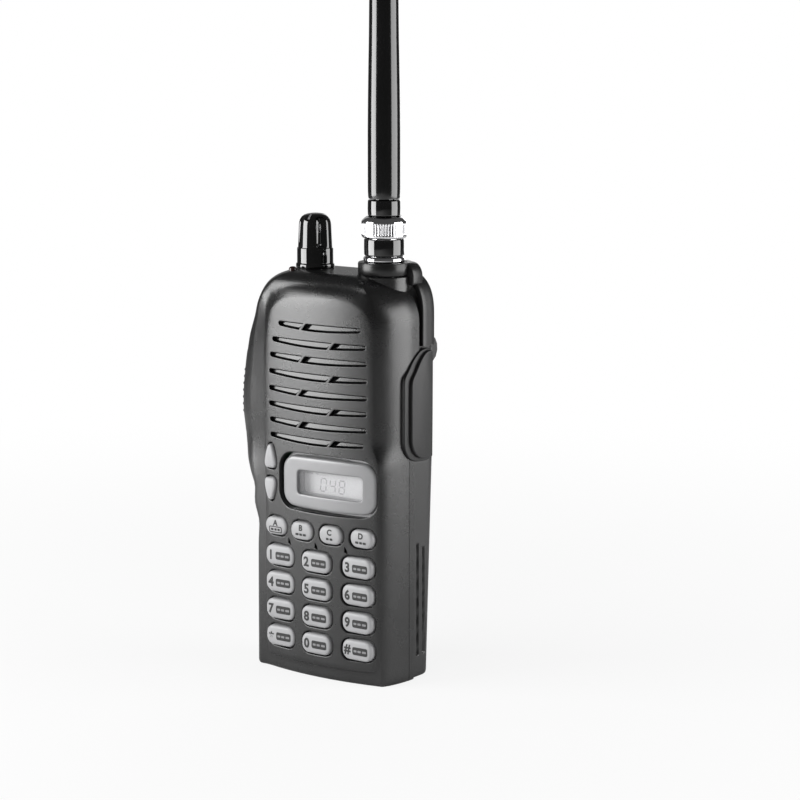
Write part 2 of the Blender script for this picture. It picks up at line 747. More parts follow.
class Louvre:
    """One half of a speaker slot: flat on top, swollen below, cut off by the slanted rib."""

    def __init__(self, slot, right):
        z, start, end, rib = slot
        self.top = z + SLOT_RISE
        self.start = start
        self.end = end
        self.right = right
        middle = rib + (RIB / 2 if right else -RIB / 2)
        self.cut_low = middle - SLANT / 2
        self.cut_high = middle + SLANT / 2

    def low(self, x):
        t = (x - self.start) / (self.end - self.start)
        return self.top - SLOT_ENDS - SLOT_SWELL * math.sin(math.pi * t)

    def outline(self):
        """Anticlockwise from the start of the bottom edge."""
        r = SLOT_ENDS / 2
        if self.right:
            stop = self.end - SLOT_TIP * r
            bottom = [(x, self.low(x)) for x in between(self.cut_low, stop, 18)]
            turns = [math.radians(a) for a in between(-90.0, 90.0, 8)[1:-1]]
            side = [(stop + SLOT_TIP * r * math.cos(a), self.top - r + r * math.sin(a)) for a in turns]
            over = [(x, self.top) for x in between(stop, self.cut_high, 18)]
            return dense(bottom + side + over, 1.0)
        start = self.start + r
        bottom = [(x, self.low(x)) for x in between(start, self.cut_low, 14)]
        over = [(x, self.top) for x in between(self.cut_high, start, 14)]
        turns = [math.radians(a) for a in between(90.0, 270.0, 8)[1:-1]]
        side = [(start + r * math.cos(a), self.top - r + r * math.sin(a)) for a in turns]
        return dense(bottom + over + side, 1.0)

    def floor(self):
        """Rows across the slanted floor, which runs out of a hole at its left end."""
        high = (self.cut_high, self.end - 0.1) if self.right else (self.start + 0.1, self.cut_high)
        foot = (self.cut_low, self.end - 0.1) if self.right else (self.start + 0.1, self.cut_low)
        rows = []
        for t in between(0.0, 1.0, 26):
            upper = high[0] + (high[1] - high[0]) * t
            lower = foot[0] + (foot[1] - foot[0]) * t
            sunk = SLOT_HOLE * (1.0 - smooth_step((upper - high[0] - 0.35) / 1.9))
            face = FRONT + bow(lower)
            edge = self.low(lower) + SLOT_SLIT
            depth = FRONT + bow(upper)
            ledge = self.top - SLOT_GROOVE
            rows.append([
                (upper, depth + SLOT_BACK, ledge), (upper, depth + SLOT_FLOOR[0] + sunk, ledge),
                (lower, face + SLOT_FLOOR[1] + sunk, edge), (lower, face + SLOT_BACK, edge),
            ])
        return rows


def key_places():
    spots = [("key_" + "abcd"[i], x, LETTER_Z, LETTER_KEY) for i, x in enumerate(LETTER_X)]
    names = (("1", "2", "3"), ("4", "5", "6"), ("7", "8", "9"), ("star", "0", "pound"))
    for row, labels in enumerate(names):
        for label, x in zip(labels, NUMBER_X):
            spots.append(("key_" + label, x, NUMBER_Z - ROW_PITCH * row, NUMBER_KEY))
    return spots


def key_outline(x, z, size, grow=0.0, most=1.0):
    return rounded(x, z, size[0] + 2 * grow, size[1] + 2 * grow, KEY_RADIUS + grow, 0.12, 6, most)


def arrow_outline(name, grow=0.0):
    """Drop shape that narrows towards the arrow's point, anticlockwise."""
    low, high = ARROWS[name]
    half = ARROW_HALF
    base = [(half * 0.7, 0.02), (half, 0.14), (half, 0.34), (half * 0.76, 0.66),
            (half * 0.42, 0.93), (0.0, 1.0), (-half * 0.42, 0.93), (-half * 0.76, 0.66),
            (-half, 0.34), (-half, 0.14), (-half * 0.7, 0.02), (0.0, 0.0)]
    middle = (low + high) / 2
    shape = rounded_line([(x, low + (high - low) * t) for x, t in base], 0.8)
    if name == "down":
        shape = [(x, 2 * middle - z) for x, z in reversed(shape)]
    return [(ARROW_X + x, z) for x, z in grown(shape, grow)]


def sink(skin, outline, depth, lip=LIP):
    """Roll the edge of a hole over and take its wall back to depth."""
    rows = []
    for a in QUARTER:
        ring = grown(outline, lip * (1 - math.sin(a)))
        rows.append([(x, y + lip * (1 - math.cos(a)), z) for x, y, z in face_points(np.array(ring))])
    rows.append([(x, y + depth, z) for (x, z), (_, y, _) in zip(outline, face_points(np.array(outline)))])
    skin.lattice(rows, True)


def add_face(skin):
    """Front face from side to side, with its wells, speaker slots and small notches."""
    wells = [key_outline(x, z, size, KEY_GAP) for _, x, z, size in key_places()]
    wells += [arrow_outline(name, KEY_GAP) for name in ARROWS]
    wells.append(rounded(*DISPLAY_HOLE, DISPLAY_RADIUS, DISPLAY_BOW, 8))
    louvres = [Louvre(slot, right) for slot in SLOTS for right in (False, True)]
    slots = [louvre.outline() for louvre in louvres]
    notches = [[(x - 0.55, 44.9), (x - 0.5, 43.2), (x + 0.7, 42.5), (x + 0.25, 43.9)] for x in NOTCH_X]
    holes = [grown(outline, LIP) for outline in wells]
    holes += [grown(outline, THIN_LIP) for outline in slots + notches]
    guides = [grown(outline, LIP + 0.18) for outline in wells]
    guides += [grown(outline, THIN_LIP + 0.15) for outline in slots]
    guides += [grown(PANEL, RAMP * k) for k in (-1.0, -0.6, -0.2, 0.2, 0.6, 1.0)]
    rises = [Section(z) for z in MID_RISE]
    left = [s.face(s.first) for s in rises]
    right = [s.face(s.last) for s in rises]
    low, high = Section(FACE_LOW), Section(FACE_HIGH)
    outer = [(x, FACE_LOW) for x in between(low.first, low.last, ACROSS)]
    outer += [(p[0], p[2]) for p in right[1:-1]]
    outer += [(x, FACE_HIGH) for x in between(high.last, high.first, ACROSS)]
    outer += [(p[0], p[2]) for p in reversed(left[1:-1])]
    spots = [(x, z) for x in between(-24.0, 23.0, 28) for z in between(2.5, 124.6, 69)]
    mask = inside(np.array(spots), grown(outer, -0.5))
    spots = [spot for spot, keep in zip(spots, mask) if keep]
    flat, faces = fill(outer, holes, guides, spots)
    skin.add(face_points(flat), [tuple(face) for face in faces])
    for outline in wells:
        sink(skin, outline, WELL)
    for outline in slots:
        sink(skin, outline, SLOT_DEEP, THIN_LIP)
    for outline in notches:
        sink(skin, outline, NOTCH_DEEP, THIN_LIP)
        skin.cap([(x, FRONT + bow(x) + NOTCH_DEEP, z) for x, z in outline])
    for louvre in louvres:
        skin.lattice(louvre.floor())


def add_flanks(skin, foot, over):
    """Both sides back to the seam, the crown right round, and the step in the seam."""
    for group in (foot, over):
        skin.lattice([s.faces(between(s.first, s.last, ACROSS)) for s in group])
    lower = foot[:-1] + [Section(z) for z in MID_RISE if z <= STEP + 0.01]
    upper = [Section(z) for z in MID_RISE if z >= STEP - 0.01]
    upper += [s for s in over[1:] if s.z < CAP] + [Section(CAP)]
    crown = [Section(CAP)] + [s for s in over if s.z > CAP]
    for side in (-1, 1):
        for group, seam in ((lower, LOW_SEAM), (upper, HIGH_SEAM), (crown, HIGH_SEAM)):
            rows = [s.front_side(side, seam) for s in group]
            skin.lattice(rows)
            if group is not crown:
                edge = [row[-1] for row in rows]
                skin.lattice([edge, inward(edge, side, FLANGE)])
        rows = [s.rear_side(side, HIGH_SEAM) for s in crown]
        skin.lattice(rows)
        skin.lattice([rows[0], [(x * 0.94, y * 0.94, z) for x, y, z in rows[0]]])
        step = Section(STEP)
        out = step.front_side(side, HIGH_SEAM)[-1][0]
        ends = [(out, LOW_SEAM, step.z), (out, HIGH_SEAM, step.z)]
        skin.lattice([ends, inward(ends, side, FLANGE)])


def add_ends(skin, base, top):
    """The flat top and the flat underside of the front case."""
    loop = top.faces(between(top.first, top.last, ACROSS))
    loop += top.front_side(1, HIGH_SEAM)[1:] + top.rear_side(1, HIGH_SEAM)[1:]
    loop += list(reversed(top.rear_side(-1, HIGH_SEAM)))[1:]
    loop += list(reversed(top.front_side(-1, HIGH_SEAM)))[1:-1]
    skin.cap(loop)
    loop = base.faces(between(base.first, base.last, ACROSS))
    loop += base.front_side(1, LOW_SEAM)[1:]
    loop += list(reversed(base.front_side(-1, LOW_SEAM)))[:-1]
    skin.cap(loop)


def add_collars(skin):
    """Low round seats under the knob and the aerial."""
    turns = between(0, 2 * math.pi, 48)[:-1]
    for x, y, radius, height in COLLARS:
        profile = (
            (radius, COLLAR_FOOT), (radius, height - 0.3), (radius - 0.3, height), (1.0, height),
        )
        rows = [[(x + r * math.cos(a), y + r * math.sin(a), z) for a in turns] for r, z in profile]
        skin.lattice(rows, True)


def build_front():
    skin = Skin()
    add_face(skin)
    foot = [Section(z, inset) for z, inset in FOOT_RISE]
    over = [Section(z) for z in TOP_RISE]
    add_flanks(skin, foot, over)
    add_ends(skin, foot[0], over[-1])
    add_collars(skin)
    skin.make("case_front", "radio", CASE, ("front_case",), 38.0)


# ---------------------------------------------------------------- rear half

# The inner plate and the shelf over the pack, as (low x, y, z, high x, y, z).
INNER_PLATES = ((-20.5, -3.9, 4.0, 20.5, -2.3, 112.0), (-22.4, 2.4, 73.5, 22.4, 4.6, 75.1))
PLATE_EDGE = 0.2
RIM = 1.6


def build_rear():
    """Upper rear shell behind the seam, with its floor, rim and inner plate."""
    skin = Skin()
    low = PACK_TOP + 2 * GAP
    high = CAP - GAP
    start = HIGH_SEAM + GAP
    stations = [low, low + 0.15, low + 0.5] + between(low + 2.0, FACE_HIGH, 34) + [high - 0.6, high]
    pull = {0: 0.45, 1: 0.15}
    rows = {}
    for side in (-1, 1):
        made = []
        for i, z in enumerate(stations):
            s = Section(z, pull.get(i, 0.0))
            made.append(s.rear_side(side, start + pull.get(i, 0.0)))
        rows[side] = made
        skin.lattice(made)
        edge = [row[0] for row in made]
        skin.lattice([edge, inward(edge, side, RIM)])
    for i in (0, -1):
        skin.cap(rows[1][i] + list(reversed(rows[-1][i]))[1:])
    for low_x, low_y, low_z, high_x, high_y, high_z in INNER_PLATES:
        middle = ((low_x + high_x) / 2, (low_z + high_z) / 2)
        outline = rounded(*middle, high_x - low_x, high_z - low_z, 0.8, 0, 4, 90)
        rings = [grown(outline, -PLATE_EDGE), outline, outline, grown(outline, -PLATE_EDGE)]
        depths = (low_y, low_y + PLATE_EDGE, high_y - PLATE_EDGE, high_y)
        skin.solid([[(x, y, z) for x, z in ring] for ring, y in zip(rings, depths)])
    skin.make("case_rear", "radio", PACK, ("rear_chassis",), 38.0)


GRIPS = (0.9, 4.2, 7.4)
GRIP_LOW = 7.0
GRIP_HIGH = 46.0
GRIP_HALF = 0.75
GRIP_DEEP = 0.75
LID_HOLE = ((-24.0, 2.0), (22.6, 2.0), (22.6, 68.6), (-24.0, 68.6))
LID_BACK = 1.2


def grip_depth(y, z):
    """How deep the finger grooves of the pack's sides are at this spot."""
    for i, middle in enumerate(GRIPS):
        across = abs(y - middle)
        if across < GRIP_HALF:
            high = GRIP_HIGH - 1.5 * i
            ends = min(z - GRIP_LOW, high - z)
            return GRIP_DEEP * smooth_step((GRIP_HALF - across) / 0.35) * smooth_step(ends / 0.9)
    return 0.0


def build_pack():
    """Battery pack: wrap-round shell with finger grooves and an open front for its lid."""
    skin = Skin()
    seam = LOW_SEAM + GAP
    rises = list(FOOT_RISE)
    rises += [(z, 0.0) for z in between(2.0, 6.6, 3) + between(6.9, 8.2, 8) + between(9.0, 42.0, 22)]
    rises += [(z, 0.0) for z in between(42.4, 46.4, 20) + between(48.0, PACK_TOP - 0.5, 14)]
    rises += [(PACK_TOP - 0.15, 0.15), (PACK_TOP, 0.45)]
    sections = [Section(z, inset) for z, inset in rises]
    ends = {}
    for side in (-1, 1):
        rows = []
        for s in sections:
            stop = s.rear - s.corner
            row = []
            for y in between(seam, stop, 60):
                row.append((s.flank(side) - side * grip_depth(y, s.z), y, s.z))
            row += s.rear_side(side, seam, 1)[2:]
            rows.append(row)
        skin.lattice(rows)
        ends[side] = rows
    for i in (0, -1):
        skin.cap(ends[1][i] + list(reversed(ends[-1][i]))[1:])
    right = [row[0] for row in ends[1]]
    left = [row[0] for row in ends[-1]]
    outer = [(x, z) for x, _, z in right] + [(x, z) for x, _, z in reversed(left)]
    flat, faces = fill(outer, [list(LID_HOLE)], [], [])
    skin.add([(x, seam, z) for x, z in flat], [tuple(face) for face in faces])
    skin.lattice([[(x, y, z) for x, z in LID_HOLE] for y in (seam, LID_BACK)], True)
    skin.make("pack_case", "battery", PACK, ("battery_case",), 38.0)


# ---------------------------------------------------------------- keys

KEY_PROUD = 0.8
KEY_CROWN = 0.22
KEY_DEEP = 3.5
KEY_FLANGE = (0.4, 0.3)
KEY_ROLL = 0.75
MAT_TOP = 53.0
MAT_CLEAR = -11.85
BOARD_CLEAR = -10.75


def key_rise(x, z, middle, size):
    """How far a key's top stands in front of the panel at this spot."""
    away = min(1.0, math.hypot((x - middle[0]) / (size[0] / 2), (z - middle[1]) / (size[1] / 2)))
    return KEY_PROUD + KEY_CROWN * (1.0 - away * away)


def shrunk(ring, middle, scale):
    """The ring drawn in towards its middle."""
    u, v = middle
    return [(u + (a - u) * scale, v + (b - v) * scale) for a, b in ring]


def key_cap(skin, outline, inner, middle, size):
    """Flange behind the panel, neck out of the well, rolled shoulder and crowned top."""
    front = FRONT + bow(middle[0])
    back = min(front + KEY_DEEP, MAT_CLEAR if middle[1] < MAT_TOP else BOARD_CLEAR)
    wide = grown(outline, KEY_FLANGE[0])
    step = back - KEY_FLANGE[1]
    profile = ((outline, back), (wide, back), (wide, step), (outline, step))
    rows = [[(x, y, z) for x, z in ring] for ring, y in profile]
    for turn in between(0.0, 90.0, 6):
        a = math.radians(turn)
        mix = 1.0 - math.cos(a)
        ring = [(p[0] + (q[0] - p[0]) * mix, p[1] + (q[1] - p[1]) * mix) for p, q in zip(outline, inner)]
        lift = KEY_PROUD - KEY_ROLL * (1.0 - math.sin(a))
        edge = [key_rise(x, z, middle, size) - KEY_PROUD for x, z in ring]
        rows.append([(x, front - lift - e * math.sin(a), z) for (x, z), e in zip(ring, edge)])
    for scale in (0.85, 0.68, 0.5, 0.3, 0.1):
        ring = shrunk(inner, middle, scale)
        rows.append([(x, front - key_rise(x, z, middle, size), z) for x, z in ring])
    skin.lattice(rows, True)
    skin.cap(rows[-1])
    skin.cap(rows[0])


GLYPHS = {"star": "*", "pound": "#"}
KEY_SHOULDER = 0.95
ARROW_SHOULDER = 0.75
# Small marks on a key, as (shift, width) from the middle of their row.
THREE_MARKS = ((-1.5, 1.3), (0.05, 1.1), (1.5, 1.2))
LETTER_MARKS = {
    "a": ((-1.3, 1.1), (0.1, 0.9), (1.35, 0.9)), "b": THREE_MARKS,
    "c": ((-0.75, 1.1), (0.75, 1.1)), "d": THREE_MARKS,
}
LETTER_DROP = 1.15
NUMBER_MARKS = ((-1.8, 1.2), (-0.2, 1.3), (1.7, 1.5))
NUMBER_PATCH = (1.5, -0.1)
PRINT_LIFT = 0.06
LABEL_LIFT = 0.085


def written(text, size, weight):
    """Flat triangles of plain figures, (points, faces), centred on the origin."""
    curve = bpy.data.curves.new("figures", "FONT")
    curve.body = text
    curve.size = size
    curve.offset = weight
    curve.resolution_u = 6
    curve.align_x = "CENTER"
    curve.align_y = "CENTER"
    thing = bpy.data.objects.new("figures", curve)
    data = thing.to_mesh()
    points = [(v.co.x, v.co.y) for v in data.vertices]
    faces = [tuple(face.vertices) for face in data.polygons]
    thing.to_mesh_clear()
    bpy.data.objects.remove(thing)
    low_x, high_x = min(p[0] for p in points), max(p[0] for p in points)
    low_y, high_y = min(p[1] for p in points), max(p[1] for p in points)
    points = [(x - (low_x + high_x) / 2, y - (low_y + high_y) / 2) for x, y in points]
    return points, faces


def inlay(skin, points, faces, middle, size, at, lift=PRINT_LIFT):
    """Lay flat print on a key's crowned top."""
    front = FRONT + bow(middle[0]) - lift
    placed = []
    for a, b in points:
        x, z = at[0] + a, at[1] + b
        placed.append((x, front - key_rise(x, z, middle, size), z))
    skin.add(placed, faces)


def patch(width, height, radius):
    """Rounded plate of print as a fine strip mesh."""
    outline = rounded(0.0, 0.0, width, height, radius, 0.0, 3, 0.8)
    reach = width / 2 - 0.7
    flat, faces = fill(outline, [], [], [(x, 0.0) for x in between(-reach, reach, 5)])
    return [tuple(p) for p in flat], [tuple(int(i) for i in face) for face in faces]


def frame_line(width, height, radius, thick):
    """Rounded rectangle drawn as a line."""
    outer = rounded(0.0, 0.0, width, height, radius, 0.0, 3, 0.6)
    inner = [(x * (1 - 2 * thick / width), z * (1 - 2 * thick / height)) for x, z in outer]
    count = len(outer)
    faces = [(i, (i + 1) % count, count + (i + 1) % count, count + i) for i in range(count)]
    return outer + inner, faces


def print_letter(dark, label, spot):
    """Letter over its row of small marks; the first letter's row is framed."""
    x, z = spot
    row = z - LETTER_DROP
    inlay(dark, *written(label.upper(), 2.6, 0.12), spot, LETTER_KEY, (x, z + 1.05))
    if label == "a":
        inlay(dark, *frame_line(5.2, 2.1, 0.5, 0.28), spot, LETTER_KEY, (x, row))
    for shift, width in LETTER_MARKS[label]:
        inlay(dark, *patch(width, 0.75, 0.2), spot, LETTER_KEY, (x + shift, row))


def print_number(dark, pale, label, spot):
    """Figure on the left, and a dark plate with pale marks beside it."""
    x, z = spot
    plate_x = x + NUMBER_PATCH[0]
    plate_z = z + NUMBER_PATCH[1]
    inlay(dark, *written(GLYPHS.get(label, label), 4.3, 0.16), spot, NUMBER_KEY, (x - 3.5, z))
    inlay(dark, *patch(5.9, 2.6, 0.6), spot, NUMBER_KEY, (plate_x, plate_z))
    for shift, width in NUMBER_MARKS:
        inlay(pale, *patch(width, 0.7, 0.2), spot, NUMBER_KEY, (plate_x + shift, plate_z), LABEL_LIFT)


def build_keys():
    for name, x, z, size in key_places():
        body = name.replace("key_", "press_")
        cap = Skin()
        outline = key_outline(x, z, size, 0.0, 0.7)
        inner = key_outline(x, z, size, -KEY_SHOULDER, 0.7)
        key_cap(cap, outline, inner, (x, z), size)
        cap.make(name + "_cap", body, KEY, (name,), 50.0)
        dark = Skin()
        pale = Skin()
        label = name.replace("key_", "")
        if size == LETTER_KEY:
            print_letter(dark, label, (x, z))
        else:
            print_number(dark, pale, label, (x, z))
        dark.make(name + "_figure", body, PRINT)
        if pale.points:
            pale.make(name + "_label", body, PRINT_PALE)
    for name, (low, high) in ARROWS.items():
        middle = (ARROW_X, (low + high) / 2)
        cap = Skin()
        outline = arrow_outline(name)
        inner = grown(outline, -ARROW_SHOULDER)
        key_cap(cap, outline, inner, middle, (2 * ARROW_HALF, high - low))
        cap.make("key_%s_cap" % name, "press_" + name, KEY, ("key_" + name,), 50.0)


# ---------------------------------------------------------------- display

BEZEL_SIZE = (36.4, 16.0)
BEZEL_PROUD = 0.1
BEZEL_ROLL = (1.0, 0.85)
BEZEL_FLANGE = ((0.0, -12.1), (0.9, -12.1), (0.9, -12.4), (0.0, -12.4))
WINDOW = (4.7, 64.0, 25.2, 7.8)
MOUTH = 0.45
PANEL_Y = -11.75
PANE_Y = (-14.9, -14.5)
LCD_SIZE = (4.7, 64.0, 29.6, 12.0)
FIGURE_Y = -11.73
FIGURE_Z = 63.1
FIGURE_HALF = (1.06, 2.1)
FIGURES = ((-0.3, "abcdef"), (3.4, "fgbc"), (7.1, "abcdefg"))
FIGURE_LEAN = 0.1
BAR_HALF = 0.24
BAR_GAP = 0.16
FRAME_Z = 67.0


def build_bezel(opening):
    """Rounded surround whose mouth rolls down to the panel behind it."""
    skin = Skin()
    outer = rounded(*DISPLAY, *BEZEL_SIZE, 4.6, 0.55, 8)
    rows = [[(x, y, z) for x, z in grown(outer, by)] for by, y in BEZEL_FLANGE]
    for turn in between(0.0, 90.0, 6):
        a = math.radians(turn)
        ring = grown(outer, -BEZEL_ROLL[0] * (1 - math.cos(a)))
        rows.append([(x, FRONT + bow(x) + 0.75 - BEZEL_ROLL[1] * math.sin(a), z) for x, z in ring])
    skin.lattice(rows, True)
    rim = grown(outer, -BEZEL_ROLL[0])
    mouth = grown(opening, MOUTH)
    guides = [grown(rim, -0.8), grown(mouth, 0.4)]
    spots = [(x, z) for x in between(-12.0, 20.0, 20) for z in between(57.5, 70.5, 9)]
    flat, faces = fill(rim, [mouth], guides, spots)
    skin.add([(x, FRONT + bow(x) - BEZEL_PROUD, z) for x, z in flat], [tuple(face) for face in faces])
    rows = []
    for turn in between(0.0, 90.0, 5):
        a = math.radians(turn)
        ring = grown(opening, MOUTH * (1 - math.sin(a)))
        rows.append([(x, FRONT + bow(x) - BEZEL_PROUD + MOUTH * (1 - math.cos(a)), z) for x, z in ring])
    rows.append([(x, PANEL_Y, z) for x, z in opening])
    skin.lattice(rows, True)
    skin.make("bezel", "radio", BEZEL, ("display_bezel",), 45.0)


def bar_shape(start, end):
    """Six corners of one bar of a figure, pointed at both ends."""
    along = Vector((end[0] - start[0], end[1] - start[1])).normalized()
    across = Vector((-along.y, along.x)) * BAR_HALF
    taper = along * BAR_HALF
    a = Vector(start) + along * BAR_GAP
    b = Vector(end) - along * BAR_GAP
    return [a, a + taper - across, b - taper - across, b, b - taper + across, a + taper + across]


def build_figures():
    """Three leaning figures made of bars, and two small framed signs above them."""
    marks = Skin()
    half, tall = FIGURE_HALF
    bars = {
        "a": ((-half, tall), (half, tall)), "b": ((half, tall), (half, 0)),
        "c": ((half, 0), (half, -tall)), "d": ((-half, -tall), (half, -tall)),
        "e": ((-half, -tall), (-half, 0)), "f": ((-half, 0), (-half, tall)),
        "g": ((-half, 0), (half, 0)),
    }
    for x, lit in FIGURES:
        for bar in lit:
            ends = [(x + u + v * FIGURE_LEAN, FIGURE_Z + v) for u, v in bars[bar]]
            marks.add([(p.x, FIGURE_Y, p.y) for p in bar_shape(*ends)], [tuple(range(6))])
    for x, width in ((-5.9, 2.6), (-2.9, 1.0)):
        points, faces = frame_line(width, 1.5, 0.3, 0.25)
        marks.add([(x + a, FIGURE_Y, FRAME_Z + b) for a, b in points], faces)
    marks.make("lcd_figures", "radio", SEGMENT)


def build_display():
    opening = rounded(*WINDOW, 1.3, 0.0, 6)
    build_bezel(opening)
    pane = Skin()
    ring = grown(opening, -0.05)
    pane.solid([[(x, y, z) for x, z in ring] for y in PANE_Y])
    pane.make("window", "radio", CLEAR, ("display_window",), 30.0)
    glass = Skin()
    ring = rounded(*LCD_SIZE, 0.8, 0.0, 4)
    inner = grown(ring, -0.2)
    glass.solid([[(x, y, z) for x, z in r] for r, y in ((ring, -10.8), (ring, -11.5), (inner, -11.7))])
    glass.make("lcd", "radio", LCD, ("display_glass",), 30.0)
    build_figures()


# ---------------------------------------------------------------- turned pieces

AERIAL = (13.85, 2.1)
KNOB = (-13.85, 2.1)
LAMP_SPOT = (-16.2, -6.8)
# Hollows of the knob: height span, half width, turn of the first one, depth.
FLUTE = (137.95, 148.2)
FLUTE_HALF = math.radians(20.0)
FLUTE_TURN = math.radians(-30.0)
FLUTE_DEEP = 0.75
MARK_TURN = math.radians(-78.0)
MARK_SPINE = ((2.9, 148.62), (3.7, 148.3), (4.35, 147.83), (4.85, 147.15))
MARK_HALF = 0.35
# Knurled band of the coupling ring: height span, number of ridges, depth.
KNURL = (143.6, 147.4)
KNURL_COUNT = 48
KNURL_DEEP = 0.22


def lathe(skin, spot, profile, steps=64, waist=None):
    """Turn a (radius, height) profile about the upright axis at spot.

    waist changes the radius round the piece: waist(angle, radius, height).
    """
    rows = []
    for r, h in profile:
        row = []
        for k in range(steps):
            turn = 2 * math.pi * k / steps
            reach = waist(turn, r, h) if waist else r
            row.append((spot[0] + reach * math.cos(turn), spot[1] + reach * math.sin(turn), h))
        rows.append(row)
    skin.lattice(rows, True)
    for r, row in ((profile[0][0], rows[0]), (profile[-1][0], rows[-1])):
        if r < 1.0:
            skin.cap(row)


def eased(profile, radius=0.25, steps=3):
    """Round every corner of a (radius, height) profile."""
    made = [profile[0]]
    for before, at, after in zip(profile, profile[1:], profile[2:]):
        a, b, c = Vector(before), Vector(at), Vector(after)
        reach = min(radius, (a - b).length * 0.45, (c - b).length * 0.45)
        one = b + (a - b).normalized() * reach
        two = b + (c - b).normalized() * reach
        for k in range(steps + 1):
            t = k / steps
            spot = one * (1 - t) ** 2 + b * 2 * t * (1 - t) + two * t * t
            made.append((spot.x, spot.y))
    made.append(profile[-1])
    return made


def fluted(turn, r, h):
    """Radius of the knob with four hollows round it."""
    if not FLUTE[0] < h < FLUTE[1]:
        return r
    away = abs((turn - FLUTE_TURN + math.pi / 4) % (math.pi / 2) - math.pi / 4)
    deep = FLUTE_DEEP * max(0.0, 1.0 - (away / FLUTE_HALF) ** 2)
    fade = smooth_step((h - FLUTE[0]) / 0.5) * smooth_step((FLUTE[1] - h) / 1.6)
    return r - deep * fade


def build_knob():
    """Volume knob with its pale mark, and the status lamp beside it."""
    skin = Skin()
    profile = [(0.05, 148.95), (1.3, 148.9), (2.6, 148.7), (3.6, 148.35), (4.4, 147.75), (4.95, 146.9),
               (5.2, 146.0), (5.3, 145.0)]
    profile += [(5.3 + 0.3 * k / 10, 145.0 - 6.8 * k / 10) for k in range(1, 11)]
    profile += [(5.62, 138.0), (5.65, 137.85), (5.9, 137.7), (5.93, 137.4), (5.95, 133.2), (5.97, 132.9),
                (6.15, 132.75), (6.3, 132.5), (6.33, 131.6), (6.2, 131.32), (3.4, 131.3), (3.35, 132.5)]
    lathe(skin, KNOB, profile, 192, fluted)
    skin.make("knob_cap", "volume", GLOSS, ("volume_knob",), 50.0)
    mark = Skin()
    rows = []
    for r, h in MARK_SPINE:
        row = []
        for shift in (-MARK_HALF, MARK_HALF):
            a = MARK_TURN + shift / r
            row.append((KNOB[0] + (r + 0.03) * math.cos(a), KNOB[1] + (r + 0.03) * math.sin(a), h + 0.04))
        rows.append(row)
    mark.lattice(rows)
    mark.make("knob_mark", "volume", PRINT_PALE)
    lamp = Skin()
    profile = eased([(0.05, 132.25), (0.7, 132.15), (1.15, 131.8), (1.3, 131.3), (1.3, 127.2)], 0.2)
    lathe(lamp, LAMP_SPOT, profile, 32)
    lamp.make("lamp_dome", "radio", LAMP, ("status_lamp",), 60.0)


def knurled(turn, r, h):
    """Radius of the coupling ring with its ridges."""
    if r < 6.9:
        return r
    near = math.cos(KNURL_COUNT * turn)
    fade = smooth_step((h - KNURL[0]) / 0.5) * smooth_step((KNURL[1] - h) / 0.5)
    return r - KNURL_DEEP * smooth_step((0.1 - near) / 0.9) * fade


def build_aerial():
    """Socket, screwed coupling, plug and the tapering whip, from the case upward."""
    skin = Skin()
    profile = [(5.2, 136.7), (6.2, 136.7), (6.65, 136.2), (6.65, 135.25), (6.2, 135.0), (5.2, 135.0)]
    lathe(skin, AERIAL, eased(profile, 0.2), 96)
    skin.make("nut_ring", "radio", CHROME, ("socket_nut",), 50.0)
    skin = Skin()
    profile = [(3.7, 141.0), (3.7, 147.6), (4.8, 147.6), (4.8, 136.9), (5.05, 136.8), (5.05, 127.0)]
    lathe(skin, AERIAL, eased(profile, 0.2), 64)
    skin.make("socket_barrel", "radio", CHROME, ("aerial_socket",), 50.0)
    skin = Skin()
    profile = [(5.2, 142.3), (6.25, 142.3), (6.42, 142.0), (6.46, 139.6), (6.42, 137.3),
               (6.25, 137.0), (5.2, 137.0)]
    lathe(skin, AERIAL, eased(profile, 0.12), 96)
    skin.make("sleeve", "coupling", GLOSS, ("coupling_sleeve",), 50.0)
    skin = Skin()
    profile = [(5.2, 149.3), (5.75, 149.3), (6.3, 148.85), (6.95, 148.25), (7.2, 147.95), (7.25, 147.6)]
    profile += [(7.25, h) for h in (147.4, 147.2, 147.0, 146.8, 145.5, 144.4, 144.2, 144.0, 143.8, 143.6)]
    profile += [(7.22, 143.2), (7.05, 142.85), (6.75, 142.6), (5.2, 142.6)]
    lathe(skin, AERIAL, profile, 480, knurled)
    skin.make("knurled_ring", "coupling", CHROME, ("coupling_ring",), 50.0)
    skin = Skin()
    profile = [(0.05, 157.0), (3.4, 157.0), (3.4, 154.6), (5.0, 154.6), (5.2, 154.3), (5.26, 152.0),
               (5.2, 149.9), (5.05, 149.6), (3.3, 149.6), (3.3, 140.4), (2.6, 140.4), (2.6, 146.0),
               (0.7, 146.0), (0.7, 141.2), (0.35, 140.6), (0.05, 140.6)]
    lathe(skin, AERIAL, eased(profile, 0.15), 96)
    skin.make("plug", "aerial", GLOSS, ("aerial_plug",), 50.0)
    skin = Skin()
    profile = [(0.05, 297.6), (1.2, 297.45), (2.3, 296.9), (3.1, 296.0), (3.55, 294.8), (3.75, 293.4)]
    profile += [(3.75 + 0.25 * k / 3, 293.4 - 13.4 * k / 3) for k in (1, 2, 3)]
    profile += [(4.0 + 0.8 * k / 10, 280.0 - 75.0 * k / 10) for k in range(1, 11)]
    profile += [(4.8 + 0.4 * math.sin(math.pi / 2 * k / 8), 205.0 - 33.0 * k / 8) for k in range(1, 9)]
    profile += [(5.2, 165.0), (5.2, 158.4), (5.17, 157.0), (5.1, 155.6), (4.95, 155.0),
                (3.9, 154.9), (3.8, 156.0)]
    lathe(skin, AERIAL, profile, 96)
    skin.make("whip", "aerial", SHEATH, ("aerial_sheath",), 50.0)


# ---------------------------------------------------------------- jack cover and strap

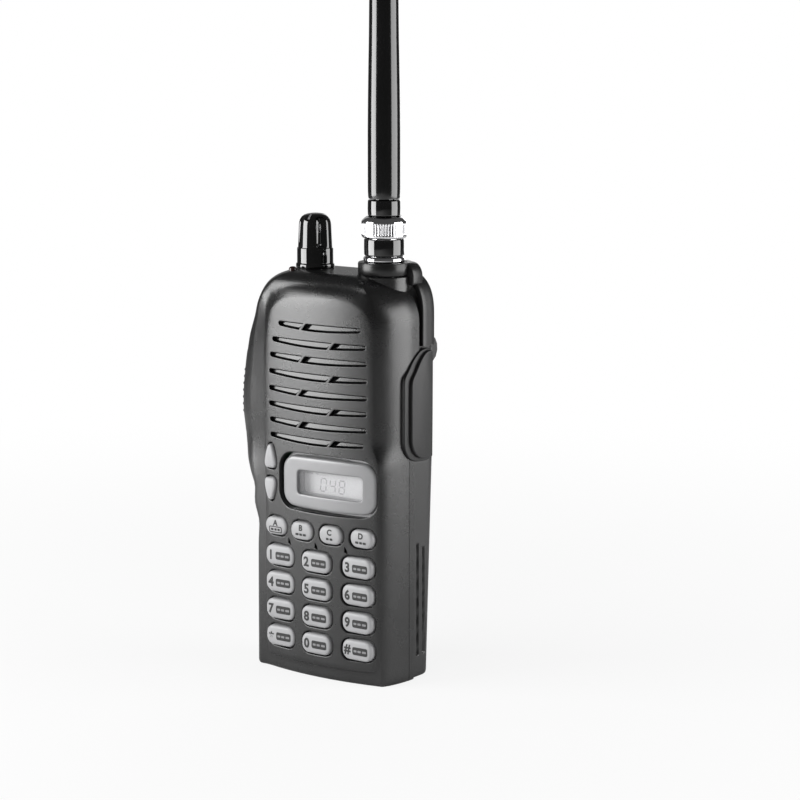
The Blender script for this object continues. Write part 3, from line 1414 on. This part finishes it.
# The cover's rim and its raised middle, in y and z.
COVER_FOOT = (
    (-5.2, 78.0), (-4.4, 75.6), (-2.6, 73.4), (0.4, 72.0), (4.0, 71.5), (8.2, 71.5), (8.6, 72.0),
    (8.8, 107.0), (8.4, 107.6), (6.0, 107.7), (3.0, 106.9), (-0.2, 104.6), (-2.8, 101.6),
    (-4.7, 99.4), (-5.2, 97.0),
)
COVER_FACE = (
    (-2.6, 79.0), (-2.0, 76.6), (-0.6, 74.6), (1.8, 73.0), (4.6, 72.5), (8.2, 72.5), (8.6, 73.0),
    (8.8, 106.4), (8.4, 107.0), (6.4, 107.0), (4.2, 106.0), (1.9, 103.8), (-0.3, 100.8),
    (-2.1, 98.6), (-2.6, 96.4),
)
STRAP_Y = (5.1, 11.5)
STRAP_LIFT = (-0.5, 1.4)
STRAP_BEND = 0.7
STRAP_END = 108.4
TAB_SIDE = (
    (18.2, 129.6), (20.0, 128.4), (22.4, 127.8), (24.1, 127.9), (24.4, 129.6), (24.3, 131.4),
    (23.9, 132.6), (23.0, 133.9), (21.9, 134.6), (20.4, 134.95), (18.2, 134.9),
)
TAB_Y = (3.2, 8.6)
TAB_EDGE = 0.5


def plate(skin, outline, low, high, edge):
    """Raised plate on the right flank from x = low to high, its edge rolled over."""
    rows = [[(low, y, z) for y, z in outline]]
    for turn in between(0.0, 90.0, 5):
        a = math.radians(turn)
        ring = grown(outline, -edge * (1 - math.cos(a)))
        rows.append([(high - edge * (1 - math.sin(a)), y, z) for y, z in ring])
    skin.lattice(rows, True)
    skin.cap(rows[0])
    skin.cap(rows[-1])


def build_cover():
    """Rubber cover over the side jacks, its band over the shoulder and the ring that holds it."""
    skin = Skin()
    plate(skin, rounded_line(COVER_FOOT, 0.9), 25.8, 27.2, 0.35)
    plate(skin, rounded_line(COVER_FACE, 0.9), 26.9, 28.3, 0.4)
    skin.make("cover_pad", "cover", RUBBER, ("jack_cover",), 40.0)
    skin = Skin()
    rings = []
    centre = (RIGHT - SHOULDER, HEIGHT - SHOULDER)
    path = []
    for turn in between(12.0, 90.0, 30):
        a, b = math.sin(math.radians(turn)), math.cos(math.radians(turn))
        x = centre[0] + SHOULDER * a ** STRAP_BEND
        path.append((x, centre[1] + SHOULDER * b ** STRAP_BEND, a, b))
    path += [(RIGHT, z, 1.0, 0.0) for z in between(centre[1], STRAP_END, 6)[1:]]
    section = rounded(sum(STRAP_Y) / 2, sum(STRAP_LIFT) / 2, STRAP_Y[1] - STRAP_Y[0],
                      STRAP_LIFT[1] - STRAP_LIFT[0], 0.45, 0.0, 4, 2.0)
    for x, z, a, b in path:
        rings.append([(x + a * lift, y, z + b * lift) for y, lift in section])
    skin.solid(rings)
    band = skin.make("strap_band", None, STRAP, ("cover_strap",), 40.0)
    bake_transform(band)
    skin = Skin()
    profile = [(5.5, 130.9), (8.15, 130.9), (8.4, 131.2), (8.4, 134.5), (8.2, 134.85), (7.9, 134.95),
               (6.0, 134.95), (5.6, 134.7), (5.5, 134.3), (5.5, 130.9)]
    lathe(skin, AERIAL, profile, 96)
    skin.make("strap_ring", "radio", STRAP, (), 40.0)
    skin = Skin()
    side = rounded_line(TAB_SIDE, 0.45)
    near = []
    far = []
    for turn in between(0.0, 90.0, 4):
        a = math.radians(turn)
        ring = grown(side, -TAB_EDGE * (1 - math.cos(a)))
        back = TAB_EDGE * (1 - math.sin(a))
        near.append([(x, TAB_Y[0] + back, z) for x, z in ring])
        far.append([(x, TAB_Y[1] - back, z) for x, z in ring])
    skin.solid(near[::-1] + far)
    skin.make("strap_tab", "radio", STRAP, (), 40.0)


# ---------------------------------------------------------------- side pieces

# Piece, body, CAD node, span of y, span of z, corner radius, inner end and number of ribs.
SIDE_KEYS = (
    ("talk_bar", "ptt", "ptt_button", (-9.3, 1.6), (75.0, 105.0), 3.0, -29.5, 7),
    ("monitor_bar", "monitor", "monitor_key", (-8.6, -3.4), (59.5, 69.5), 2.0, -27.5, 3),
)
SIDE_PROUD = 0.12
SIDE_ROLL = 1.3
RIB_PITCH = 2.3
RIB_WIDE = 0.9
# Rings of one rib: how much its outline grows and where the ring lies from the key's face.
RIB_RINGS = ((0.12, 0.05), (0.0, -0.15), (-0.12, -0.3), (-0.3, -0.36))
LEVELS = {}


def side_outline(span_y, span_z, radius, grow=0.0):
    width = span_y[1] - span_y[0] + 2 * grow
    height = span_z[1] - span_z[0] + 2 * grow
    return rounded(sum(span_y) / 2, sum(span_z) / 2, width, height, radius + grow, 0.0, 6, 1.5)


def key_face(y, z):
    """Where the outside of a side key lies, just proud of the left flank at this spot."""
    height = round(z, 3)
    if height not in LEVELS:
        LEVELS[height] = Section(height)
    return LEVELS[height].left_at(y) - SIDE_PROUD


def build_side_keys():
    """Talk bar and monitor key, ribbed rubber pads nearly flush with the left flank."""
    for name, body, node, span_y, span_z, radius, low, ribs in SIDE_KEYS:
        skin = Skin()
        rows = [[(low, y, z) for y, z in side_outline(span_y, span_z, radius)]]
        for turn in between(0.0, 90.0, 6):
            a = math.radians(turn)
            inner = side_outline(span_y, span_z, radius, -SIDE_ROLL * (1 - math.cos(a)))
            rows.append([(key_face(y, z) + SIDE_ROLL * (1 - math.sin(a)), y, z) for y, z in inner])
        middle = (sum(span_y) / 2, sum(span_z) / 2)
        for scale in (0.8, 0.55, 0.3, 0.1):
            rows.append([(key_face(y, z), y, z) for y, z in shrunk(inner, middle, scale)])
        skin.lattice(rows, True)
        skin.cap(rows[-1])
        skin.cap(rows[0])
        for k in range(ribs):
            z = middle[1] + (k - (ribs - 1) / 2) * RIB_PITCH
            bar = rounded(middle[0], z, span_y[1] - span_y[0] - 4.0, RIB_WIDE, 0.44, 0.0, 4, 2.0)
            rings = []
            for grow, lift in RIB_RINGS:
                ring = grown(bar, grow) if grow else bar
                rings.append([(key_face(y, zz) + lift, y, zz) for y, zz in ring])
            skin.lattice(rings, True)
            skin.cap(rings[-1])
        skin.make(name, body, RUBBER, (node,), 45.0)


build_front()
build_rear()
build_pack()
build_keys()
build_display()
build_knob()
build_aerial()
build_side_keys()
build_cover()
dress_frame()
